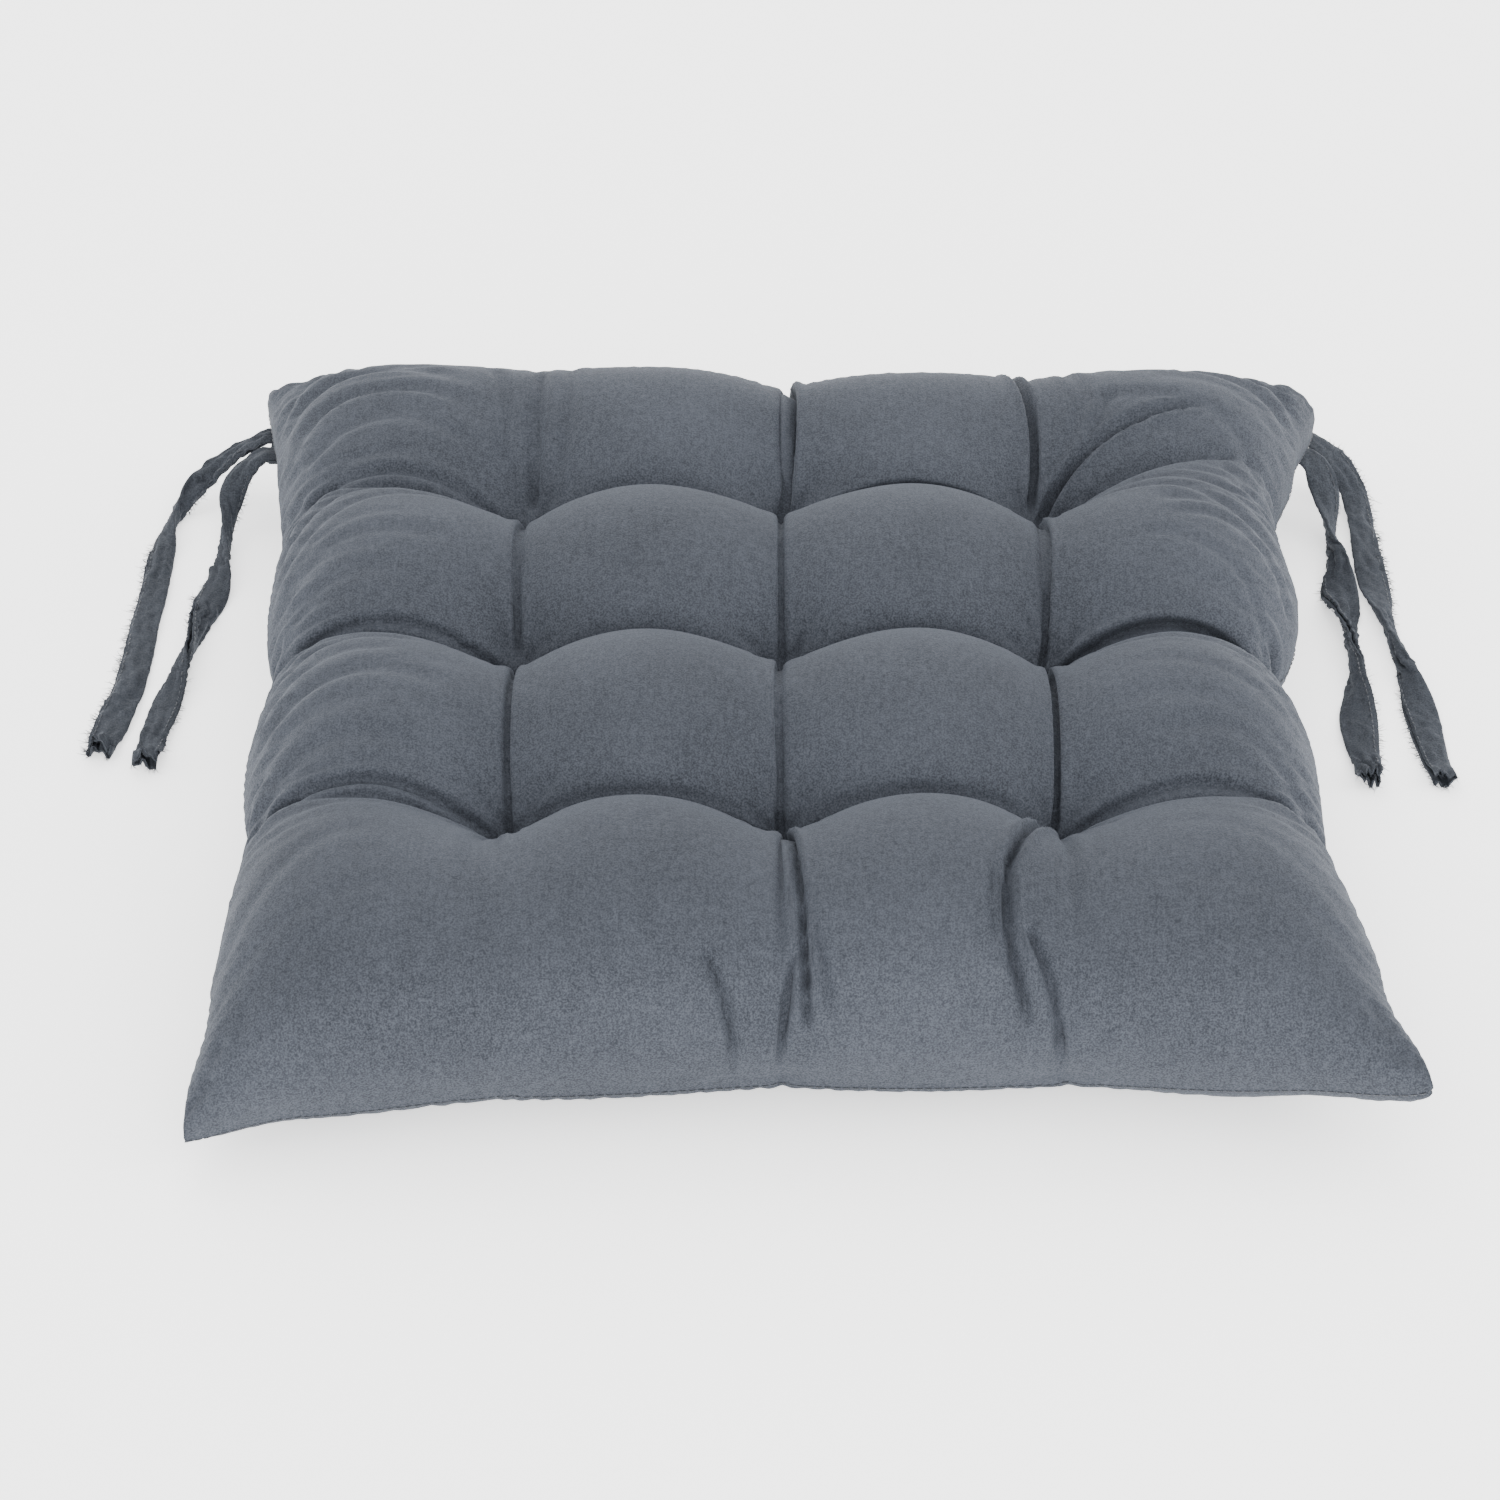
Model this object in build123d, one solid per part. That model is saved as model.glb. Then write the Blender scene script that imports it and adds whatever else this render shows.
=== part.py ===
from build123d import *

import math
import os

# A tufted, knife-edge chair seat pad with four fabric ties, in millimetres.
# The origin is under the middle of the pad, on the surface that it lies on.
# +X is to the sitter's right, +Y is to the chair's back, where the ties are, and +Z is up.

# Pad outline, at the edge seam
CORNER = 200.0  # seam corner from the centre line, along X and along Y
SIDE = 185.0  # middle of a side from the centre line: filling pulls the sides in
SEAM_Z = 25.0  # height of the edge seam
EDGE_HALF = 2.5  # half the height of the folded edge at the seam

# Stuffed shape
PUFF_TOP = 61.0  # rise of a puff above the folded edge
PUFF_BOTTOM = 30.0  # fall of a puff below the folded edge, before the floor flattens it
CREASE_DEPTH = 22.0  # depth of the crease between two puffs, twice this where two creases cross
CREASE_POWER = 2  # a higher power makes a narrower crease
EDGE_POWER = 5  # a higher power makes a fuller edge
TUFT_PITCH = 92.5  # from tuft to tuft
TUFTS_EACH_WAY = (-1, 0, 1)
TUFT_NAMES = {-1: ("front", "left"), 0: ("middle", "centre"), 1: ("rear", "right")}

# Cloth, seam and filling
CLOTH = 0.8  # cover cloth with its brushed pile
SEAM_ALLOWANCE = 10.0  # width of cloth turned in at the edge seam
SEAM_STITCH_IN = 3.0  # edge seam's stitch line, in from the inner side of the edge
SEAM_THREAD = 0.6
SEAM_THREAD_TURN = 5.0  # radius of the stitch line round a corner
FILLING_IN = 11.4  # the filling stops this far in from the edge, clear of the seam allowance
FILLING_GAP = 1.2

# Tuft stitches: loops of thread through the whole pad
TUFT_THREAD = 1.0
TUFT_LEG = 2.7  # half the distance between a loop's two legs
TUFT_LOOP_APART = 1.4
TUFT_LOOPS = 2
THREAD_GAP = 0.1  # between a thread and its hole
TUFT_BAR_GAP = 0.5  # between a tuft's bars and the cloth under them
LOOP_CORNER = 0.6  # radius where a loop's leg turns over the cloth

# Ties: a folded strip of the cover cloth, caught at its middle in a rear corner
TIE_WIDTH = 10.0
TIE_THICK = 4.0
TIE_STITCH_IN = 3.0  # tie's own stitch line, from the middle of its width
TIE_THREAD = 0.7
TIE_FLOOR_Z = TIE_THICK / 2
RUN_SHARE = 0.45  # share of the shorter run that an arc of the tie's route takes

# Sewn middle of each tie, in the edge seam
ANCHOR_X = (187.2, 200.2)
ANCHOR_Y = (177.5, 197.0)
ANCHOR_THICK = 1.0
TACK_THREAD = 0.8
TACK_LEG = 2.2
TACK_LOOPS = 4
TACK_APART = 3.0
TACK_X = 190.5
TACK_Y = 187.5

# Routes of the four ties, from the root at the rear corner to the cut end
TIE_ROUTES = {
    "tie_outer_left": [
        (-202.2, 196.0, SEAM_Z),
        (-212.0, 196.5, 20.5),
        (-225.0, 192.0, 11.5),
        (-235.5, 181.5, 4.5),
        (-240.0, 165.5, TIE_FLOOR_Z),
        (-241.5, 145.5, TIE_FLOOR_Z),
        (-241.2, 124.0, TIE_FLOOR_Z),
        (-242.6, 101.0, TIE_FLOOR_Z),
        (-242.8, 78.0, TIE_FLOOR_Z),
        (-244.0, 56.0, TIE_FLOOR_Z),
        (-247.5, 36.0, TIE_FLOOR_Z),
        (-250.0, 18.0, TIE_FLOOR_Z),
    ],
    "tie_inner_left": [
        (-202.2, 183.0, SEAM_Z),
        (-208.5, 181.0, 22.5),
        (-214.0, 174.0, 15.5),
        (-216.0, 161.0, 7.0),
        (-216.5, 141.5, TIE_FLOOR_Z),
        (-218.0, 121.5, TIE_FLOOR_Z),
        (-220.8, 101.5, TIE_FLOOR_Z),
        (-222.5, 81.0, TIE_FLOOR_Z),
        (-226.0, 61.5, TIE_FLOOR_Z),
        (-228.2, 42.5, TIE_FLOOR_Z),
        (-230.2, 25.5, TIE_FLOOR_Z),
        (-230.5, 10.5, TIE_FLOOR_Z),
    ],
    "tie_inner_right": [
        (202.2, 183.0, SEAM_Z),
        (208.5, 181.0, 22.5),
        (213.0, 174.0, 15.5),
        (213.6, 161.0, 7.0),
        (213.8, 142.0, TIE_FLOOR_Z),
        (213.0, 121.5, TIE_FLOOR_Z),
        (213.4, 100.0, TIE_FLOOR_Z),
        (214.5, 78.5, TIE_FLOOR_Z),
        (214.2, 57.0, TIE_FLOOR_Z),
        (212.8, 36.5, TIE_FLOOR_Z),
        (212.4, 16.5, TIE_FLOOR_Z),
        (213.6, -3.0, TIE_FLOOR_Z),
    ],
    "tie_outer_right": [
        (202.2, 196.0, SEAM_Z),
        (211.5, 196.5, 21.0),
        (221.5, 192.0, 12.5),
        (226.8, 181.0, 5.0),
        (227.6, 165.0, TIE_FLOOR_Z),
        (227.0, 145.0, TIE_FLOOR_Z),
        (228.0, 123.5, TIE_FLOOR_Z),
        (228.6, 101.5, TIE_FLOOR_Z),
        (231.2, 79.5, TIE_FLOOR_Z),
        (233.0, 58.0, TIE_FLOOR_Z),
        (235.8, 37.5, TIE_FLOOR_Z),
        (236.6, 17.0, TIE_FLOOR_Z),
        (238.4, -3.0, TIE_FLOOR_Z),
    ],
}

# Modelling aids
SURFACE_REACH = 206.0  # the puffed surfaces are made this far out, past the outline
SURFACE_STEPS = 33
SURFACE_TOLERANCE = 0.1
SLOPE_STEP = 0.01
TALL = 150.0

SIDE_BOW = CORNER - SIDE
SIDE_RADIUS = (CORNER**2 + SIDE_BOW**2) / (2 * SIDE_BOW)


def side_reach(along):
    """How far the side is from the centre line, at this distance along it."""
    return SIDE + SIDE_RADIUS - math.sqrt(SIDE_RADIUS**2 - along**2)


def fullness(x, y):
    """1 in the middle of the pad and 0 at its edge seam."""
    across = 1 - abs(x / side_reach(y)) ** EDGE_POWER
    deep = 1 - abs(y / side_reach(x)) ** EDGE_POWER
    return across * deep


def crease(distance):
    """1 on the three crease lines that cross the pad, and 0 along the crown of each puff."""
    turns = distance / TUFT_PITCH
    if abs(turns) > 1.5:
        return 0.0
    return math.cos(math.pi * turns) ** CREASE_POWER


def top_height(x, y):
    """Outer side of the top cloth."""
    sunk = CREASE_DEPTH * (crease(x) + crease(y))
    return SEAM_Z + EDGE_HALF + fullness(x, y) * (PUFF_TOP - sunk)


def bottom_height(x, y):
    """Outer side of the bottom cloth, before the floor flattens its puffs."""
    sunk = CREASE_DEPTH * (crease(x) + crease(y))
    return SEAM_Z - EDGE_HALF - fullness(x, y) * (PUFF_BOTTOM - sunk)


def moved_in(height, thickness):
    """The surface this thickness away from another, measured square to it."""

    def shifted(x, y):
        slope_x = (height(x + SLOPE_STEP, y) - height(x, y)) / SLOPE_STEP
        slope_y = (height(x, y + SLOPE_STEP) - height(x, y)) / SLOPE_STEP
        return height(x, y) + thickness * math.sqrt(1 + slope_x**2 + slope_y**2)

    return shifted


def puffed_face(height):
    """One smooth face through the heights, wider than the pad."""
    spacing = 2 * SURFACE_REACH / SURFACE_STEPS
    marks = [-SURFACE_REACH + spacing * step for step in range(SURFACE_STEPS + 1)]
    points = [[(x, y, height(x, y)) for y in marks] for x in marks]
    return Face.make_surface_from_array_of_points(points, tol=SURFACE_TOLERANCE)


def space_above(height):
    return extrude(puffed_face(height), amount=TALL, dir=(0, 0, 1))


def space_below(height):
    return extrude(puffed_face(height), amount=TALL, dir=(0, 0, -1))


def outline(inset=0.0):
    """Square outline with its four sides bowed in."""
    corners = [(-CORNER, -CORNER), (CORNER, -CORNER), (CORNER, CORNER), (-CORNER, CORNER)]
    middles = [(0, -SIDE), (SIDE, 0), (0, SIDE), (-SIDE, 0)]
    sides = []
    for index, middle in enumerate(middles):
        sides.append(ThreePointArc(corners[index], middle, corners[(index + 1) % 4]))
    face = make_face(sides)
    if inset:
        face = offset(face, -inset, kind=Kind.INTERSECTION)
    return face


def column(inset, low, high):
    """The outline, moved in and stood up between two heights."""
    return Pos(0, 0, low) * extrude(outline(inset), amount=high - low)


def seam_allowance(low, high):
    return column(CLOTH / 2, low, high) - column(CLOTH + SEAM_ALLOWANCE, low, high)


def make_cover_top():
    """Top panel: a shell that stands on the edge seam, with its allowance turned in."""
    cloth = column(0, 0, TALL) & space_below(top_height)
    cloth -= column(CLOTH, 0, TALL) & space_below(moved_in(top_height, -CLOTH))
    cloth -= column(-1, -1, SEAM_Z)
    return cloth + seam_allowance(SEAM_Z, SEAM_Z + CLOTH)


def make_cover_bottom():
    """Bottom panel: the same, hung from the edge seam and flattened by the floor."""
    cloth = column(0, 0, TALL) & space_above(bottom_height)
    cloth -= column(CLOTH, CLOTH, 2 * TALL) & space_above(moved_in(bottom_height, CLOTH))
    rim_above = column(-1, SEAM_Z, 2 * TALL) - column(CLOTH, SEAM_Z, 2 * TALL)
    cloth -= rim_above
    return cloth + seam_allowance(SEAM_Z - CLOTH, SEAM_Z)


def make_filling():
    """Loose fibre that fills both covers inside the seam allowance."""
    clear = CLOTH + FILLING_GAP
    body = column(FILLING_IN, clear, TALL)
    body &= space_below(moved_in(top_height, -clear))
    return body & space_above(moved_in(bottom_height, clear))


def stitch_ring(z):
    """Thread along the whole edge seam."""
    line = outline(CLOTH + SEAM_STITCH_IN)
    line = fillet(line.vertices(), SEAM_THREAD_TURN)
    path = (Pos(0, 0, z) * line).face().outer_wire()
    section = Plane(path @ 0, z_dir=path % 0) * Circle(SEAM_THREAD / 2)
    return sweep(section, path=path)


def thread_loop(half_width, low, high, thread):
    """A closed loop of thread, standing across the pad, with its bars on both sides."""
    height = high - low + thread
    ring = RectangleRounded(2 * half_width, height, LOOP_CORNER)
    path = (Plane.XZ * ring).face().outer_wire()
    section = Plane(path @ 0, z_dir=path % 0) * Circle(thread / 2)
    return Pos(0, 0, (low + high) / 2) * sweep(section, path=path)


def tuft_rows():
    middle = (TUFT_LOOPS - 1) / 2
    return [(row - middle) * TUFT_LOOP_APART for row in range(TUFT_LOOPS)]


def tuft_places():
    for row in TUFTS_EACH_WAY:
        for side in TUFTS_EACH_WAY:
            name = f"tuft_thread_{TUFT_NAMES[row][0]}_{TUFT_NAMES[side][1]}"
            yield name, side * TUFT_PITCH, row * TUFT_PITCH


def make_tuft_thread(x, y):
    high = top_height(x + TUFT_LEG, y) + TUFT_BAR_GAP
    low = bottom_height(x + TUFT_LEG, y) - TUFT_BAR_GAP
    loop = thread_loop(TUFT_LEG, low, high, TUFT_THREAD)
    return Compound([Pos(x, y + row, 0) * loop for row in tuft_rows()])


def tuft_holes():
    radius = TUFT_THREAD / 2 + THREAD_GAP
    hole = Pos(0, 0, TALL / 2) * Cylinder(radius, TALL)
    holes = []
    for _, x, y in tuft_places():
        for row in tuft_rows():
            for side in (-1, 1):
                holes.append(Pos(x + side * TUFT_LEG, y + row, 0) * hole)
    return holes


def make_anchor(side):
    """Middle of a tie strip, folded flat and caught in the corner of the edge seam."""
    depth = ANCHOR_X[1] - ANCHOR_X[0]
    width = ANCHOR_Y[1] - ANCHOR_Y[0]
    centre_x = side * sum(ANCHOR_X) / 2
    return Pos(centre_x, sum(ANCHOR_Y) / 2, SEAM_Z) * Box(depth, width, ANCHOR_THICK)


def tack_places(side):
    middle = (TACK_LOOPS - 1) / 2
    for loop in range(TACK_LOOPS):
        yield side * TACK_X, TACK_Y + (loop - middle) * TACK_APART


def make_tack(side):
    """Bar tack that holds the tie strip between the two allowances."""
    half = CLOTH + THREAD_GAP
    loop = thread_loop(TACK_LEG, SEAM_Z - half, SEAM_Z + half, TACK_THREAD)
    return Compound([Pos(x, y, 0) * loop for x, y in tack_places(side)])


def tack_holes(side):
    """Needle holes of the bar tack, through both allowances and the strip between them."""
    radius = TACK_THREAD / 2 + THREAD_GAP
    leg = Pos(0, 0, SEAM_Z) * Cylinder(radius, 4 * CLOTH)
    spaces = []
    for x, y in tack_places(side):
        for end in (-1, 1):
            spaces.append(Pos(x + end * TACK_LEG, y, 0) * leg)
    return spaces


def tie_path(points):
    """The route with each corner rounded as far as its shorter run allows."""
    places = [Vector(*point) for point in points]
    radii = []
    for before, here, after in zip(places, places[1:], places[2:]):
        half_turn = math.radians((here - before).get_angle(after - here)) / 2
        run = min((here - before).length, (after - here).length)
        radii.append(RUN_SHARE * run / math.tan(half_turn))
    print("arc radii:", [round(radius, 1) for radius in radii])
    return FilletPolyline(*places, radius=radii)


def tie_plane(path):
    """Cut across the root of a tie, with its width level."""
    ahead = path % 0
    across = Vector(0, 0, 1).cross(ahead)
    return Plane(path @ 0, x_dir=across, z_dir=ahead)


def make_tie(path):
    """Flattened strip with a tunnel for its own stitch line."""
    strip = Ellipse(TIE_WIDTH / 2, TIE_THICK / 2)
    strip -= Pos(TIE_STITCH_IN, 0) * Circle(TIE_THREAD / 2 + THREAD_GAP)
    return sweep(tie_plane(path) * strip, path=path)


def make_tie_stitch(path):
    thread = Pos(TIE_STITCH_IN, 0) * Circle(TIE_THREAD / 2)
    return sweep(tie_plane(path) * thread, path=path)


def make_parts():
    parts = {}
    top = make_cover_top()
    bottom = make_cover_bottom()
    filling = make_filling()
    holes = tuft_holes()
    seam_to_thread = CLOTH + THREAD_GAP + SEAM_THREAD / 2
    parts["edge_seam_needle_thread"] = stitch_ring(SEAM_Z + seam_to_thread)
    parts["edge_seam_bobbin_thread"] = stitch_ring(SEAM_Z - seam_to_thread)
    for side, name in ((-1, "left"), (1, "right")):
        anchor = make_anchor(side)
        spaces = tack_holes(side)
        top -= [anchor, *spaces]
        bottom -= [anchor, *spaces]
        parts[f"tie_fold_{name}"] = anchor - spaces
        parts[f"tie_bar_tack_{name}"] = make_tack(side)
    parts["cover_top"] = top - holes
    parts["cover_bottom"] = bottom - holes
    parts["fibre_filling"] = filling - holes
    for name, x, y in tuft_places():
        parts[name] = make_tuft_thread(x, y)
    for name, points in TIE_ROUTES.items():
        path = tie_path(points)
        tie = make_tie(path)
        hole = math.pi * (TIE_THREAD / 2 + THREAD_GAP) ** 2
        section = math.pi * TIE_WIDTH * TIE_THICK / 4 - hole
        print(name, "length", round(path.length, 1), "volume", round(tie.volume), end=" ")
        print("section times length", round(section * path.length))
        parts[name] = tie
        parts[name.replace("tie", "tie_stitch", 1)] = make_tie_stitch(path)
    return parts


os.makedirs("parts", exist_ok=True)
for node, shape in make_parts().items():
    export_step(shape, f"parts/{node}.step")
    print(node, round(shape.volume), "mm3")
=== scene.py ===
"""Looks of a tufted chair seat pad: a stuffed cover held by nine tufts, its seam, and four cloth ties.

The cover is a small cloth simulation. It starts from the smooth shape that the tufts and the stuffing
give, has a little more cloth than that shape needs, and settles into puckers. The long folds that the
maker's hands leave in the cloth are pressed in afterwards. Everything is in metres.
"""

import itertools
import math

import bpy
import numpy as np
from mathutils import Matrix, Vector


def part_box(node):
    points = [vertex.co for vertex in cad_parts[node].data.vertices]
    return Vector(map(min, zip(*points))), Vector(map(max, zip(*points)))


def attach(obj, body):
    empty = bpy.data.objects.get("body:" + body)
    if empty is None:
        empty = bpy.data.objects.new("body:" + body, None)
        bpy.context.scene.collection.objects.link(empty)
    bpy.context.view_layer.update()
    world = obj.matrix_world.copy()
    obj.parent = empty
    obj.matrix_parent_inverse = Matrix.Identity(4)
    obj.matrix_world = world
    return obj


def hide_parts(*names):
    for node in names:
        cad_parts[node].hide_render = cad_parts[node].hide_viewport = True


MM = 0.001
SEED = 3
rng = np.random.default_rng(SEED)

# ---- cover: positions along each side are counted in tufts, so -1, 0 and 1 are the tuft lines ----
EDGE = 2.06  # the seam, counted in tufts
TUFTS = tuple(itertools.product((-1, 0, 1), repeat=2))
GRIDS = ((53, 120), (105, 60), (157, 60))  # points along a side and steps, for each round of the simulation
FINE_GRID = 241
CROWDING = 0.09  # how much closer the finest grid's points are along the tuft lines
CROWDED_REACH = 1.5  # how far out that goes, in tufts
TACK_HALF = 0.0026  # half of a tuft's bar of thread
TACK_HEIGHT = 0.0013  # from the cloth that a tuft holds down up to the top of its bar
COLUMN_RISE = 0.015  # from a tuft up to the valley between two puffs, front and rear
ROW_RISE = 0.022  # and between two puffs side by side
# how much lower the rear row's puffs are, as a share of their rise, at places in tufts from left to right
REAR_LOSS = ((-EDGE, 0.06), (-0.5, 0.10), (0.3, 0.24), (1, 0.22), (EDGE, 0.12))
PUFF_RISE = 0.006  # more height on a crown
PUFF_DROP = 0.038  # from a tuft's underside down to the floor
CREASE_SHARPNESS = 0.55  # 1 rolls a puff like a wave, and less makes its creases sharper
CROWN_SHARE = 0.42  # where an outer puff's crown is, from its tuft line to the seam
WALL_SHARE = 1.35  # 1 spreads the outer puffs' cloth evenly, and more draws it towards the seam
WALL_BULGE = 0.003  # how far the outer puffs swell past that
FULLNESS = 0.56  # 1 lets the pad thin out evenly towards the seam, and less keeps it thick for longer
FULL_POWER = 3  # how late the pad starts to thin out past the outer tufts
SQUARE_CORNERS = 0.5  # how full the rear corners are: 1 is as full as the sides
CORNER_ROUNDING = 0.1  # how softly a full corner goes over into the sides

# how far the seam is from the middle of the pad in mm, at places in tufts along each side
LEFT_REACH = (
    (-EDGE, 194), (-1.6, 180), (-1, 175.5), (-0.4, 180), (0, 178),
    (0.5, 181.5), (1, 181), (1.5, 185), (1.8, 189), (EDGE, 200),
)
RIGHT_REACH = (
    (-EDGE, 207), (-1.6, 188), (-1, 178), (-0.4, 179), (0, 174),
    (0.5, 183), (1, 177), (1.5, 189), (EDGE, 206),
)
FRONT_REACH = ((-EDGE, 198), (-1.5, 191), (-1, 188), (0, 184), (1, 183), (1.5, 187), (EDGE, 198))
REAR_REACH = ((-EDGE, 200), (-1.5, 191), (-1, 188), (0, 184), (1, 186), (1.5, 190), (EDGE, 199))
# height of the seam: at the left end, the middle and the right end of the front and of the rear
FRONT_SEAM = (0.014, 0.011, 0.034)
REAR_SEAM = (0.034, 0.030, 0.028)

# depth of each crease at the marks: an edge, an outer crown, a tuft, between tufts, and so on to the far edge
CREASE_MARKS = (-EDGE, -1.4, -1, -0.5, 0, 0.5, 1, 1.4, EDGE)
COLUMN_CREASES = (
    (0.10, 0.35, 1, 0.75, 1, 0.80, 1, 0.32, 0.20),
    (0.35, 0.50, 1, 0.45, 1, 0.45, 1, 0.60, 0.90),
    (0.45, 0.60, 1, 0.95, 1, 0.90, 1, 0.50, 0.40),
)
ROW_CREASES = (
    (0.20, 0.60, 1, 1.00, 1, 1.00, 1, 0.70, 0.40),
    (0.30, 0.75, 1, 1.00, 1, 1.00, 1, 0.95, 0.90),
    (0.30, 0.70, 1, 1.00, 1, 1.00, 1, 0.85, 0.35),
)

ROW_LEAN = 0.3  # how far the rear crease leans back across the right side, in tufts
ROW_LEAN_REACH = 0.6  # how far from that crease the cloth still leans

# ---- cloth simulation: extra cloth as a share of its length, then the forces and the stiffness ----
SIDE_GATHER = 0.09
REAR_GATHER = 0.06
FRONT_GATHER = 0.02
TUFT_GATHER = 0.08
TUFT_GATHER_REACH = 0.16  # in tufts
PRESSURE = 0.0001  # the stuffing's push, as a move per step on a grid of FORCE_GRID
WEIGHT = 0.000003  # likewise
FORCE_GRID = 0.008
STIFF_BEND = 0.15  # 1 is a link that keeps its length
STIFF_SHEAR = 0.4
DAMPING = 0.92  # share of its speed that a point keeps from step to step
FLOOR_DRAG = 0.7  # and when it lies on the floor
RELAX_ROUNDS = 3
START_NOISE = 0.001  # unevenness that lets the cloth buckle
ON_FLOOR = 1e-6
TINY = 1e-12  # keeps a length from being zero
TINY_SHARE = 1e-9  # keeps a link between two held points from dividing by zero

# ---- folds pressed into the cloth: places in tufts, depths and half widths in mm ----
FOLD_SAMPLES = 60
FOLD_RIDGE = 0.28  # height of the low ridge beside a fold, as a share of its depth
FOLD_FADE_IN = 0.1  # share of a fold's length over which it starts
FOLD_FADE_OUT = 0.12  # and ends
FOLD_REACH = 4  # how far a fold is felt, in half widths
RIDGE_PLACE = 1.9  # where the ridge is, in half widths
FOLD_LIMIT = 0.33  # the deepest a fold may go, as a share of the pad's thickness
# the tight middle of each crease between two tufts: its depth along each line, front to rear or left to right
TIGHT_HALF = 1.4
TIGHT_BOW = 0.03
TIGHT_OVERLAP = 0.06
COLUMN_TIGHT = ((2.2, 2.4), (1.6, 1.2), (4.2, 3.8))
ROW_TIGHT = ((4.0, 4.0), (4.0, 4.0), (4.0, 4.0))
# each fold: three places on the cover in tufts (across, along), depth and half width in mm
MAIN_FOLDS = (
    ((0.01, 1.02), (0.04, 1.45), (0.00, 2.00), 6.5, 1.8),  # sharp crease behind the rear middle tuft
    ((1.00, 1.02), (0.99, 1.45), (0.88, 2.00), 5.0, 1.7),  # curved crease behind the rear right tuft
    ((1.04, 1.10), (1.15, 1.45), (1.05, 1.85), 1.6, 2.4),
    ((1.05, 1.08), (1.18, 1.25), (1.24, 1.48), 1.8, 2.0),
    ((1.01, 1.01), (1.22, 1.22), (1.58, 1.38), 5.0, 1.8),  # crease that runs off to the rear right corner
    ((-1.00, 1.05), (-0.97, 1.30), (-0.98, 1.66), 2.4, 2.4),  # short soft folds behind the rear left tuft
    ((-0.90, 1.10), (-0.84, 1.35), (-0.88, 1.74), 1.6, 2.4),
    ((-1.10, 1.12), (-1.08, 1.38), (-1.14, 1.70), 1.6, 2.4),
    ((0.00, -1.03), (0.05, -1.45), (0.09, -2.05), 6.5, 1.5),  # from the front tufts down to the seam
    ((0.05, -1.76), (0.02, -1.90), (-0.02, -2.05), 3.0, 1.4),
    ((0.08, -1.55), (0.12, -1.75), (0.17, -1.98), 2.0, 1.4),
    ((-0.27, -1.80), (-0.21, -1.92), (-0.17, -2.05), 4.0, 1.4),
    ((1.00, -1.03), (0.78, -1.55), (0.89, -2.05), 7.5, 1.6),
    ((0.86, -1.35), (0.72, -1.60), (0.80, -1.90), 2.2, 1.6),
    ((0.84, -1.72), (0.92, -1.88), (0.98, -2.05), 4.0, 1.6),
    ((-1.00, -1.05), (-1.06, -1.35), (-1.00, -1.75), 1.3, 3.4),
    ((-0.62, -1.25), (-0.64, -1.50), (-0.60, -1.80), 0.9, 3.6),
    ((-0.45, -1.20), (-0.48, -1.50), (-0.46, -1.85), 0.9, 3.6),
    ((1.02, 0.00), (1.52, 0.05), (1.98, -0.03), 5.5, 1.8),  # the dark arc across the right side
    ((1.02, -1.00), (1.50, -0.97), (1.92, -1.06), 2.4, 2.0),
    ((-1.02, 1.00), (-1.48, 1.05), (-1.92, 0.96), 2.4, 2.2),  # softer arcs across the left side
    ((-1.02, 0.00), (-1.48, 0.04), (-1.94, -0.04), 2.6, 2.0),
    ((-1.02, -1.00), (-1.48, -0.95), (-1.94, -1.04), 3.6, 1.8),
    ((-1.95, 1.30), (-1.55, 1.44), (-1.12, 1.32), 2.0, 3.4),  # long folds on the left side
    ((-1.92, 1.12), (-1.50, 1.26), (-1.15, 1.17), 1.6, 3.2),
    ((-1.97, 1.50), (-1.60, 1.64), (-1.22, 1.52), 1.4, 3.2),
    ((-1.95, 0.30), (-1.60, 0.46), (-1.20, 0.42), 1.4, 3.6),
    ((-1.95, -0.62), (-1.55, -0.44), (-1.15, -0.52), 1.4, 3.6),
)
# long arcs on the sides: from and to along the side, how many, and how deep
SIDE_FOLD_ROWS = ((-1.8, -1.1, 4, 0.7), (-0.8, 0.0, 6, 1.3), (0.2, 1.0, 6, 1.5), (1.2, 1.9, 6, 1.3))
SIDE_FOLD_START = 2.02
SIDE_FOLD_END = (1.08, 1.45)
SIDE_FOLD_SHIFT = 0.04
SIDE_FOLD_LEAN = (0.10, 0.34)  # how far to the front an arc starts, the least and the most
SIDE_FOLD_BOW = (0.0, 0.06)  # how far to the rear its middle is
SIDE_FOLD_TIP = (-0.02, 0.10)  # and its inner end
SIDE_FOLD_DEPTHS = (0.3, 1.1)  # as a share of its row's depth
SIDE_FOLD_HALF = (2.4, 4.2)
# short folds along the rear and front seams: how many, and how deep
REAR_PUCKERS = (34, 0.8)
FRONT_PUCKERS = (22, 0.5)
PUCKER_START = 2.03
PUCKER_REACH = 1.9
PUCKER_SHIFT = 0.05
PUCKER_LENGTH = (0.12, 0.4)
PUCKER_LEAN = 0.04
PUCKER_DEPTHS = (0.3, 1.2)
PUCKER_HALF = (1.6, 2.6)
# small pleats round each tuft
PLEATS = 9
PLEAT_TURN = 0.25
PLEAT_START = 0.03
PLEAT_LENGTH = (0.10, 0.22)
PLEAT_DEPTHS = (0.4, 1.0)
PLEAT_HALF = (1.4, 2.0)

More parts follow.
